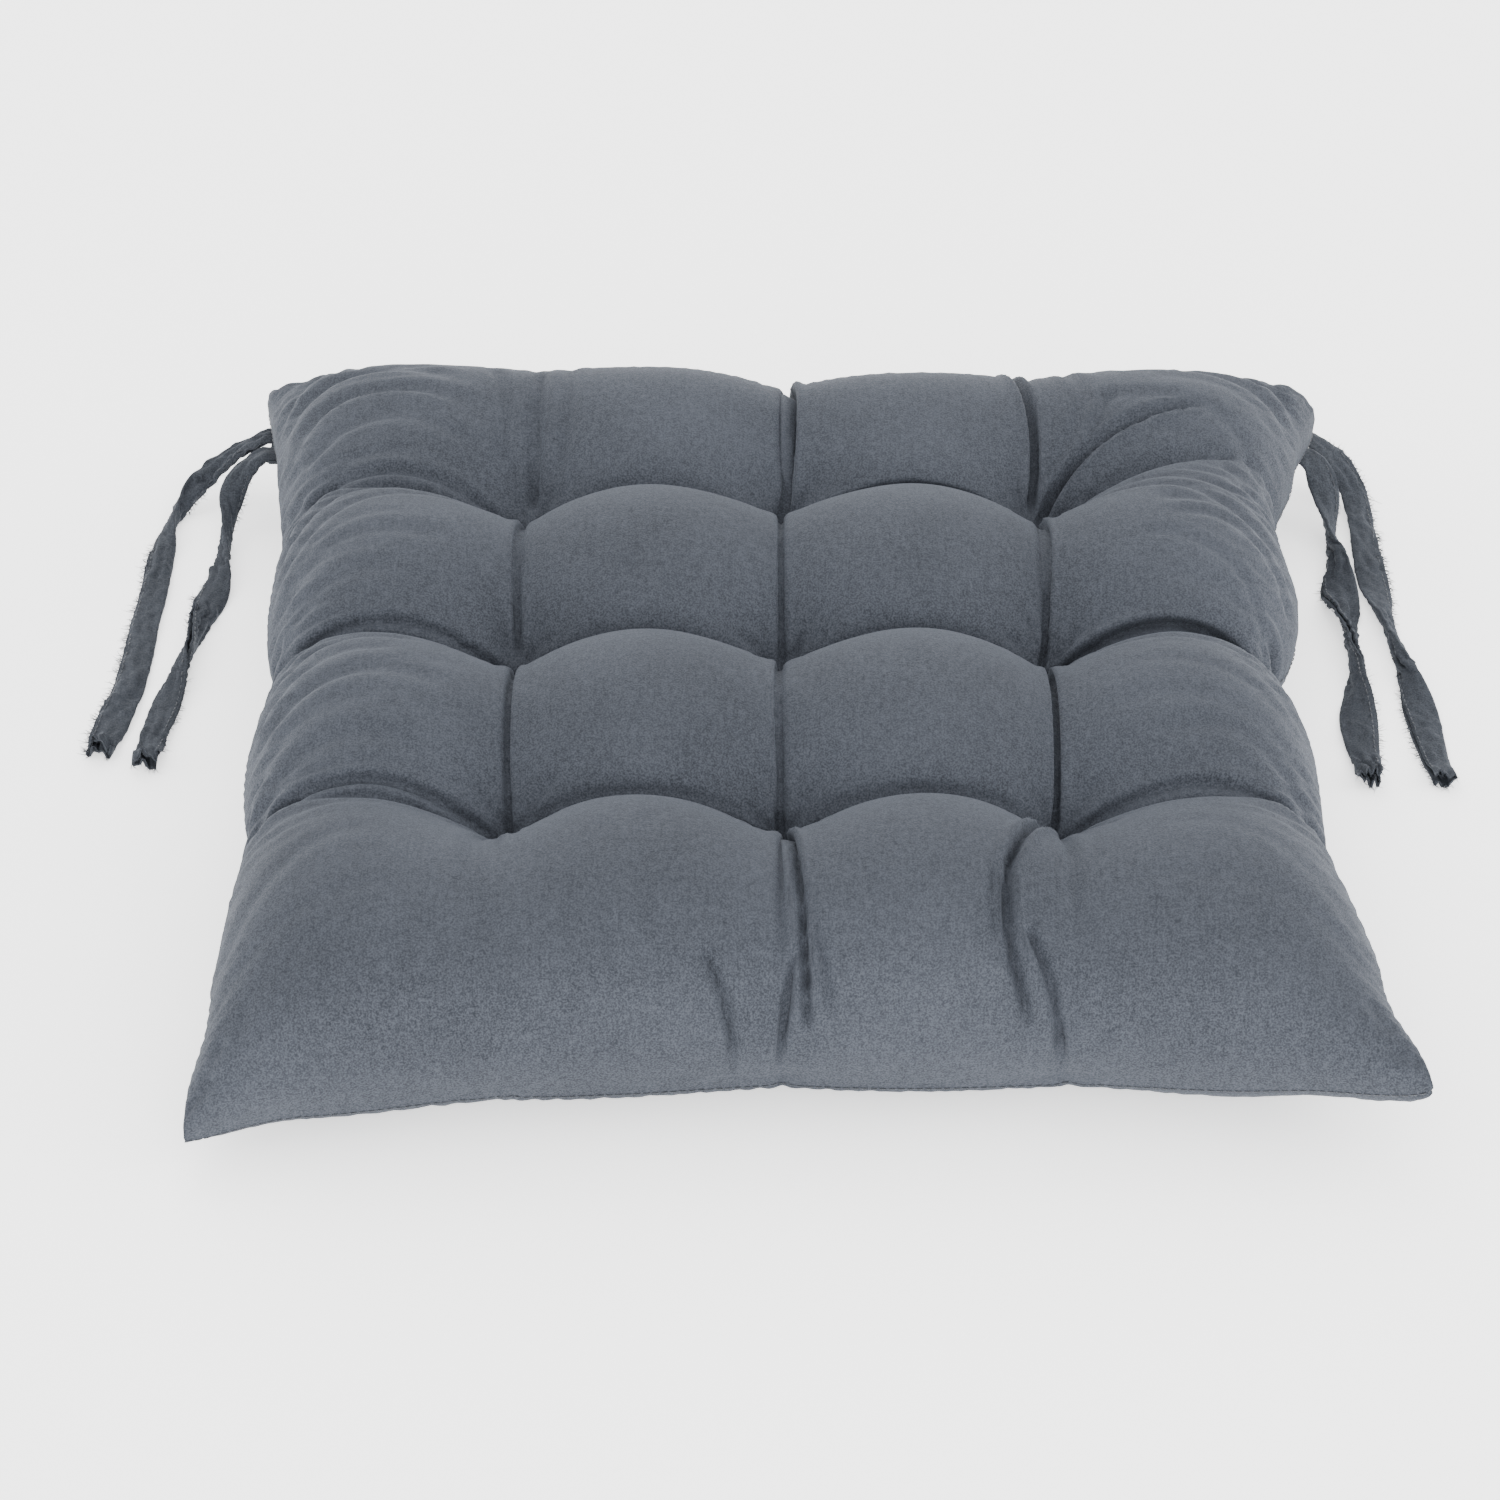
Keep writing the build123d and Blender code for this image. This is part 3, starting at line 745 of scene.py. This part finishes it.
def stitch_mesh(name, ends, radius):
    """Many short stitches in one mesh: each is a thin tube with pinched ends, raised in its middle."""
    sides = THREAD_SIDES
    turn = np.linspace(0, 2 * math.pi, sides, endpoint=False)
    ring = np.stack([np.cos(turn), np.sin(turn)], axis=1)
    vertices, faces = [], []
    for start, end, up in ends:
        along = end - start
        side = np.cross(along, up)
        side = side / (np.linalg.norm(side) + TINY)
        first = len(vertices)
        for place, size, lift in STITCH_PROFILE:
            centre = start + along * place + up * lift * radius
            vertices.extend(centre + (ring[:, :1] * side + ring[:, 1:] * up) * radius * size)
        for k in range(len(STITCH_PROFILE) - 1):
            base = first + k * sides
            for s in range(sides):
                n = (s + 1) % sides
                faces.append((base + s, base + n, base + sides + n, base + sides + s))
        faces.append([first + s for s in range(sides)][::-1])
        faces.append([first + (len(STITCH_PROFILE) - 1) * sides + s for s in range(sides)])
    return new_object(name, vertices, faces)


def make_seam(points):
    """The seam's thread, just visible between the two panels."""
    loop = np.array([points[0][place] for place in seam_loop(points.shape[1])])
    line = even_points(np.vstack([loop, loop[:1]]), SEAM_STITCH)
    outwards = line * (1, 1, 0)
    outwards = outwards / np.linalg.norm(outwards, axis=1, keepdims=True)
    ends = []
    for a, b, up in zip(line[:-1], line[1:], outwards):
        gap = (b - a) * SEAM_STITCH_GAP
        ends.append((a + gap + up * SEAM_THREAD, b - gap + up * SEAM_THREAD, up))
    seam = stitch_mesh("edge_seam_stitches", ends, SEAM_THREAD)
    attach(seam, "pad")
    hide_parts("edge_seam_needle_thread", "edge_seam_bobbin_thread")
    return seam


# ---- ties -------------------------------------------------------------------
def tie_centreline(name, route):
    """The points of one smooth curve with the route as its control points."""
    curve = bpy.data.curves.new(name, "CURVE")
    curve.dimensions = "3D"
    spline = curve.splines.new("NURBS")
    spline.points.add(len(route) - 1)
    for point, place in zip(spline.points, route):
        point.co = (*place, 1)
    spline.order_u = 3
    spline.use_endpoint_u = True
    spline.resolution_u = 12
    holder = bpy.data.objects.new(name, curve)
    bpy.context.scene.collection.objects.link(holder)
    bpy.context.view_layer.update()
    mesh = bpy.data.meshes.new_from_object(holder)
    line = np.array([vertex.co for vertex in mesh.vertices])
    bpy.data.objects.remove(holder)
    bpy.data.curves.remove(curve)
    bpy.data.meshes.remove(mesh)
    return even_points(line, TIE_STATION)


def soften(values, reach):
    """A running average along the first direction that keeps the ends."""
    padded = np.concatenate([values[:1].repeat(reach, 0), values, values[-1:].repeat(reach, 0)])
    total = sum(padded[k : k + len(values)] for k in range(2 * reach + 1))
    return total / (2 * reach + 1)


def rooted(line):
    """The tie's middle line with a short root before it that runs into the pad."""
    root = line[0] * (1 - ROOT / abs(line[0, 0]), 1, 1)
    return np.vstack([even_points(np.array([root, line[0]]), TIE_STATION)[:-1], line])


def tie_frames(line, turns):
    """The directions across and out of a tie's cloth at each station."""
    along = np.gradient(line, axis=0)
    along = along / np.linalg.norm(along, axis=1, keepdims=True)
    side = np.cross(along, (0, 0, 1))
    side = side / np.linalg.norm(side, axis=1, keepdims=True)
    up = np.cross(side, along)
    turn = (turns * math.pi)[:, None]
    return side * np.cos(turn) + up * np.sin(turn), up * np.cos(turn) - side * np.sin(turn)


def hairpin(width, gap, sway):
    """Middle of the folded cloth in section: in from a raw edge, round the fold and back, in a soft wave."""
    flat = np.linspace(-0.5, 0.5, LAYER_POINTS)
    bend = np.linspace(0.5, -0.5, BEND_POINTS + 2)[1:-1] * math.pi
    x = np.concatenate([flat * width, width / 2 + gap / 2 * np.cos(bend), flat[::-1] * width])
    layer = np.full(LAYER_POINTS, gap / 2)
    z = np.concatenate([layer, gap / 2 * np.sin(bend), -layer])
    x[-1] += RAW_EDGE_OVERHANG * width
    bulge = 1 - (2 * np.clip(x / width, -0.5, 0.5)) ** 2
    z = z * (LAYER_FLATNESS + LAYER_PUFF * bulge)
    long_wave = sway[0] * np.sin(2 * math.pi * x / width + sway[1])
    short_wave = sway[2] * np.cos(WAVE_ACROSS * math.pi * x / width + sway[3])
    return x, z + (long_wave + short_wave)


def cloth_ring(x, z):
    """Closed outline of the cloth round its middle line."""
    dx, dz = np.gradient(x), np.gradient(z)
    size = np.hypot(dx, dz) + TINY
    out_x, out_z = -dz / size * TIE_CLOTH / 2, dx / size * TIE_CLOTH / 2
    ring_x = np.concatenate([x + out_x, (x - out_x)[::-1]])
    ring_z = np.concatenate([z + out_z, (z - out_z)[::-1]])
    return ring_x, ring_z


def tie_rings(name, line):
    """Every station's outline, with the directions across and out of the cloth."""
    share = np.linspace(0, 1, len(line))
    shape = np.array(TIE_SHAPES[name])
    widths = soften(np.interp(share, shape[:, 0], shape[:, 1]), TIE_SOFTENING) * MM
    turns = soften(np.interp(share, shape[:, 0], shape[:, 2]), TIE_SOFTENING)
    across, out = tie_frames(line, turns)
    slow = soften(rng.normal(0, 1, (len(line), 4)), TIE_SOFTENING) * TIE_UNEVENNESS
    long_wave, short_wave = TIE_WAVE_HEIGHTS
    opening = np.clip((share - 1 + OPEN_SHARE) / OPEN_SHARE, 0, 1)
    rings = []
    for k in range(len(line)):
        gathered = np.clip(1 - widths[k] / GATHERED_WIDTH, 0, 1)
        gap = TIE_GAP + GATHERED_GAP * gathered + OPEN_GAP * opening[k]
        sway = slow[k] * (long_wave, TIE_WAVE_SHIFT, short_wave, TIE_WAVE_SHIFT)
        x, z = hairpin(widths[k] - gap / 2, gap, sway)
        ring_x, ring_z = cloth_ring(x, z)
        rings.append(line[k] + ring_x[:, None] * across[k] + ring_z[:, None] * out[k])
    return rest_on_floor(np.array(rings), line), across, out


def rest_on_floor(rings, line):
    """Puts each outline on the floor where the tie lies on it, and keeps it out of the floor elsewhere."""
    lowest = rings[..., 2].min(axis=1)
    lying = line[:, 2] < FLOOR_STRETCH
    lift = np.where(lying | (lowest < TIE_CLEARANCE), TIE_CLEARANCE - lowest, 0)
    rings[..., 2] += soften(lift, FLOOR_SOFTENING)[:, None]
    np.maximum(rings[..., 2], TIE_CLEARANCE, out=rings[..., 2])
    return rings


def tube_of_rings(name, rings):
    """A closed solid along the rings."""
    stations, sides = rings.shape[:2]
    index = np.arange(stations * sides).reshape(stations, sides)
    index = np.column_stack([index, index[:, :1]])
    half = sides // 2
    caps = []
    for row, flip in ((index[0], False), (index[-1], True)):
        for s in range(half - 1):
            quad = (row[s], row[s + 1], row[sides - 2 - s], row[sides - 1 - s])
            caps.append(quad[::-1] if flip else quad)
    return new_object(name, rings.reshape(-1, 3), [*grid_faces(index)[:, ::-1], *caps])


def fray_mesh(name, roots, directions):
    """Loose fibres: thin bent spikes."""
    vertices, faces = [], []
    for root, direction in zip(roots, directions):
        length = rng.uniform(*FRAY_LENGTH)
        curl = rng.normal(0, FRAY_CURL, 3)
        first = len(vertices)
        for place, radius in FRAY_PROFILE:
            centre = root + (direction * place + curl * place**2) * length
            for angle in FRAY_ANGLES:
                corner = centre + np.array((math.cos(angle), math.sin(angle), math.sin(angle + 1))) * radius
                corner[2] = max(corner[2], TIE_CLEARANCE)
                vertices.append(corner)
        for row in (0, 3):
            for s in range(3):
                n = (s + 1) % 3
                faces.append((first + row + s, first + row + n, first + row + 3 + n, first + row + 3 + s))
        faces.append((first + 6, first + 7, first + 8))
        faces.append((first + 2, first + 1, first))
    return new_object(name, vertices, faces)


def make_fray(name, rings, across):
    """Fibres along a tie's raw edge, and more of them round its cut end."""
    count = FRAYS[name]
    stations = rng.integers(len(rings) // 10, len(rings), count)
    edge = rings[stations, 0]
    outwards = -across[stations] + rng.normal(0, FRAY_SPREAD, (count, 3))
    ends = rings[-1, rng.integers(0, rings.shape[1], END_FRAYS)]
    forwards = rings[-1].mean(axis=0) - rings[-4].mean(axis=0)
    end_outwards = forwards / np.linalg.norm(forwards) + rng.normal(0, END_FRAY_SPREAD, (END_FRAYS, 3))
    return fray_mesh(f"{name}_tie_fray", np.vstack([edge, ends]), np.vstack([outwards, end_outwards]))


def make_tie_stitches(name, rings, out):
    """A row of stitches beside the raw edge, on both faces of a tie."""
    ends = []
    last = len(rings) - 1
    step = max(1, int(round(TIE_STITCH / TIE_STATION)))
    layer_end = 2 * LAYER_POINTS + BEND_POINTS - 1
    for column, sign in ((TIE_STITCH_INSET, 1), (layer_end - TIE_STITCH_INSET, -1)):
        for k in range(FIRST_STITCH, last - LAST_STITCH - step, step):
            start, end = rings[k, column], rings[k + step, column]
            gap = (end - start) * TIE_STITCH_GAP
            ends.append((start + gap, end - gap, sign * out[k]))
    stitches = stitch_mesh(f"{name}_tie_stitches", ends, TIE_THREAD)
    keep_above_floor(stitches)
    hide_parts(f"tie_stitch_{name}")
    return stitches


def keep_above_floor(made):
    """Lifts the few points of a small piece that would be in the floor."""
    for vertex in made.data.vertices:
        vertex.co.z = max(vertex.co.z, STITCH_CLEARANCE)


def make_tie(name):
    """One tie: a folded strip of cloth that lies on the floor, with its stitches and its loose fibres."""
    route = TIE_ROUTES[name]
    line = tie_centreline(name, route)
    rings, across, out = tie_rings(name, rooted(line))
    tie = tube_of_rings(f"{name}_tie", rings)
    stitches = make_tie_stitches(name, rings, out)
    fray = make_fray(name, rings, across)
    for piece in (tie, stitches, fray):
        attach(piece, f"{name}_tie")
    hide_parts(f"tie_{name}")
    return tie, stitches, fray


# ---- materials --------------------------------------------------------------
def linear(red, green, blue):
    """An 8 bit screen colour as the linear colour that a shader takes."""
    return (*(((c / 255 + 0.055) / 1.055) ** 2.4 for c in (red, green, blue)), 1)


class Nodes:
    """Short helpers over one material's node tree."""

    def __init__(self, name):
        self.material = bpy.data.materials.new(name)
        self.material.use_nodes = True
        self.tree = self.material.node_tree
        self.shader = self.tree.nodes["Principled BSDF"]
        self.place = self.add("ShaderNodeTexCoord").outputs["Object"]

    def add(self, kind, **settings):
        node = self.tree.nodes.new(kind)
        for key, value in settings.items():
            setattr(node, key, value)
        return node

    def link(self, out, socket):
        self.tree.links.new(out, socket)

    def noise(self, scale, detail=2.0, roughness=0.5, stretch=(1, 1, 1)):
        mapping = self.add("ShaderNodeMapping")
        mapping.inputs["Scale"].default_value = stretch
        texture = self.add("ShaderNodeTexNoise")
        texture.inputs["Scale"].default_value = scale
        texture.inputs["Detail"].default_value = detail
        texture.inputs["Roughness"].default_value = roughness
        self.link(self.place, mapping.inputs["Vector"])
        self.link(mapping.outputs["Vector"], texture.inputs["Vector"])
        return texture.outputs["Fac"]

    def ramp(self, value, low, high, first, last):
        node = self.add("ShaderNodeMapRange")
        node.inputs["From Min"].default_value = low
        node.inputs["From Max"].default_value = high
        node.inputs["To Min"].default_value = first
        node.inputs["To Max"].default_value = last
        self.link(value, node.inputs["Value"])
        return node.outputs["Result"]

    def math(self, operation, a, b):
        node = self.add("ShaderNodeMath", operation=operation)
        for socket, value in zip(node.inputs, (a, b)):
            if isinstance(value, (int, float)):
                socket.default_value = value
            else:
                self.link(value, socket)
        return node.outputs["Value"]

    def mix(self, factor, first, second):
        node = self.add("ShaderNodeMix", data_type="RGBA")
        self.link(factor, node.inputs["Factor"])
        node.inputs["A"].default_value = first
        node.inputs["B"].default_value = second
        return node.outputs["Result"]

    def bump(self, height, strength, distance):
        node = self.add("ShaderNodeBump")
        node.inputs["Strength"].default_value = strength
        node.inputs["Distance"].default_value = distance
        self.link(height, node.inputs["Height"])
        self.link(node.outputs["Normal"], self.shader.inputs["Normal"])

    def set(self, **values):
        for key, value in values.items():
            self.shader.inputs[key.replace("_", " ")].default_value = value


def brushed_cloth(name, colours, flat_grain, slope_grain_and_sparkle, sheen):
    """Brushed microfibre: a speckle of fibre ends, with painted sparkle that makes it stronger and the cloth
    lighter on slopes, faint slubs and a soft nap.

    The noises' scales are in features per metre, from single fibre ends to strokes of the brush.
    """
    n = Nodes(name)
    speckle = n.ramp(n.noise(1600, 1.0, 0.6), 0.36, 0.64, 0, 1)
    clumps = n.ramp(n.noise(420, 2.0, 0.6), 0.3, 0.7, 0, 1)
    # painted sparkle: the speckle is stronger, and so the cloth lighter, where the surface slopes than where
    # it is level
    upright = n.add("ShaderNodeSeparateXYZ")
    n.link(n.add("ShaderNodeNewGeometry").outputs["Normal"], upright.inputs["Vector"])
    grain_and_sparkle = n.ramp(upright.outputs["Z"], 0.5, 0.95, slope_grain_and_sparkle, flat_grain)
    slubs = n.ramp(n.noise(110, 3.0, 0.6, (9, 1, 1)), 0.3, 0.7, 0, 1)
    nap = n.ramp(n.noise(14, 3.0, 0.55), 0.3, 0.7, 0, 1)
    mixed = n.math("ADD", n.math("MULTIPLY", speckle, grain_and_sparkle), n.math("MULTIPLY", clumps, 0.22))
    mixed = n.math("ADD", mixed, n.math("MULTIPLY", slubs, 0.16))
    mixed = n.math("ADD", mixed, n.math("MULTIPLY", nap, 0.22))
    n.link(n.mix(mixed, *(linear(*colour) for colour in colours)), n.shader.inputs["Base Color"])
    n.link(n.ramp(speckle, 0, 1, 0.95, 0.72), n.shader.inputs["Roughness"])
    n.set(Sheen_Weight=sheen, Sheen_Roughness=0.45, Sheen_Tint=linear(*SHEEN_COLOUR), Specular_IOR_Level=0.25)
    n.bump(n.math("ADD", speckle, clumps), 0.35, 0.0002)
    return n.material


def sewing_thread(name, colours):
    """Twisted thread: fine slanting plies."""
    n = Nodes(name)
    wave = n.add("ShaderNodeTexWave", wave_type="BANDS", bands_direction="DIAGONAL")
    wave.inputs["Scale"].default_value = 900
    wave.inputs["Distortion"].default_value = 1.5
    n.link(n.place, wave.inputs["Vector"])
    shades = (linear(*colour) for colour in colours)
    n.link(n.mix(wave.outputs["Fac"], *shades), n.shader.inputs["Base Color"])
    n.set(Roughness=0.6, Sheen_Weight=0.2, Specular_IOR_Level=0.35)
    n.bump(wave.outputs["Fac"], 0.5, 0.0001)
    return n.material


def fibre_fill(name, colours):
    """White stuffing fibre, fluffy and uneven."""
    n = Nodes(name)
    fluff = n.noise(260, 6.0, 0.7)
    n.link(n.mix(fluff, *(linear(*colour) for colour in colours)), n.shader.inputs["Base Color"])
    n.set(Roughness=0.95, Sheen_Weight=0.3)
    n.bump(fluff, 0.8, 0.002)
    return n.material


def paint(made, material):
    """Gives a piece one material."""
    made.data.materials.clear()
    made.data.materials.append(material)


# ---- studio -----------------------------------------------------------------
def make_camera():
    """The camera, level with the pad's front edge but for a slight roll."""
    a, e, r = CAMERA_AZIMUTH, CAMERA_HEIGHT, CAMERA_ROLL
    back = Vector((math.sin(a) * math.cos(e), -math.cos(a) * math.cos(e), math.sin(e)))
    right = Vector((math.cos(a), math.sin(a), 0))
    up = back.cross(right)
    rolled_right = math.cos(r) * right + math.sin(r) * up
    rolled_up = math.cos(r) * up - math.sin(r) * right
    data = bpy.data.cameras.new("camera")
    data.sensor_width = SENSOR
    data.lens = CAMERA_LENS
    camera = bpy.data.objects.new("camera", data)
    bpy.context.scene.collection.objects.link(camera)
    camera.matrix_world = Matrix((rolled_right, rolled_up, back)).transposed().to_4x4()
    camera.matrix_world.translation = Vector(CAMERA_TARGET) + back * CAMERA_DISTANCE
    bpy.context.scene.camera = camera


def make_lights():
    """Large soft lights all round, and an even white sky."""
    for name, place, size, power in LIGHTS:
        data = bpy.data.lights.new(name, "AREA")
        data.size = size
        data.energy = power
        light = bpy.data.objects.new(name, data)
        bpy.context.scene.collection.objects.link(light)
        light.location = place
        light.rotation_euler = (-Vector(place)).to_track_quat("-Z", "Y").to_euler()
    world = bpy.data.worlds.new("studio")
    world.use_nodes = True
    background = world.node_tree.nodes["Background"]
    background.inputs["Color"].default_value = (1, 1, 1, 1)
    background.inputs["Strength"].default_value = WORLD_STRENGTH
    bpy.context.scene.world = world


def make_floor():
    """A plain white floor."""
    reach = FLOOR_REACH
    corners = [(-reach, -reach, 0), (reach, -reach, 0), (reach, reach, 0), (-reach, reach, 0)]
    floor = new_object("floor", corners, [(0, 1, 2, 3)], smooth=False)
    n = Nodes("floor_paper")
    n.set(Base_Color=(1, 1, 1, 1), Roughness=0.9, Emission_Color=(1, 1, 1, 1), Emission_Strength=FLOOR_GLOW)
    paint(floor, n.material)


# ---- the scene --------------------------------------------------------------
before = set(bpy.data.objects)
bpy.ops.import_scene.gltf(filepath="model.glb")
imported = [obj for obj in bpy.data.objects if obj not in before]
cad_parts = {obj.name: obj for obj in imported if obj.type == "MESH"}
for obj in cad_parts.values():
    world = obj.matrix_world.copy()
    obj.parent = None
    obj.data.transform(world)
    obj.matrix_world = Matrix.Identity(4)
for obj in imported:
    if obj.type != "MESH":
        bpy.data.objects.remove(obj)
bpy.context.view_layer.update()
tack_low, tack_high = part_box("tuft_thread_rear_right")
TUFT_PITCH = (tack_low.x + tack_high.x) / 2
TUFT_TOP = tack_high.z - TACK_HEIGHT
TUFT_BOTTOM = tack_low.z + TACK_HEIGHT

cover, cover_points = make_cover()
filling = make_filling(cover_points)
seam = make_seam(cover_points)
# the slope values add painted sparkle: a stronger speckle and lighter cloth on slopes
cover_cloth = brushed_cloth("cover_cloth", COVER_COLOURS, flat_grain=0.22, slope_grain_and_sparkle=0.5, sheen=0.1)
tie_cloth = brushed_cloth("tie_cloth", TIE_COLOURS, flat_grain=0.25, slope_grain_and_sparkle=0.4, sheen=0.1)
thread = sewing_thread("grey_thread", THREAD_COLOURS)
paint(cover, cover_cloth)
paint(filling, fibre_fill("stuffing_fibre", FILLING_COLOURS))
paint(seam, thread)
for tie_name in TIE_ROUTES:
    tie, stitches, fray = make_tie(tie_name)
    paint(tie, tie_cloth)
    paint(fray, tie_cloth)
    paint(stitches, thread)
for node_name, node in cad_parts.items():
    paint(node, tie_cloth if node_name.startswith("tie_fold") else thread)

make_floor()
make_lights()
make_camera()
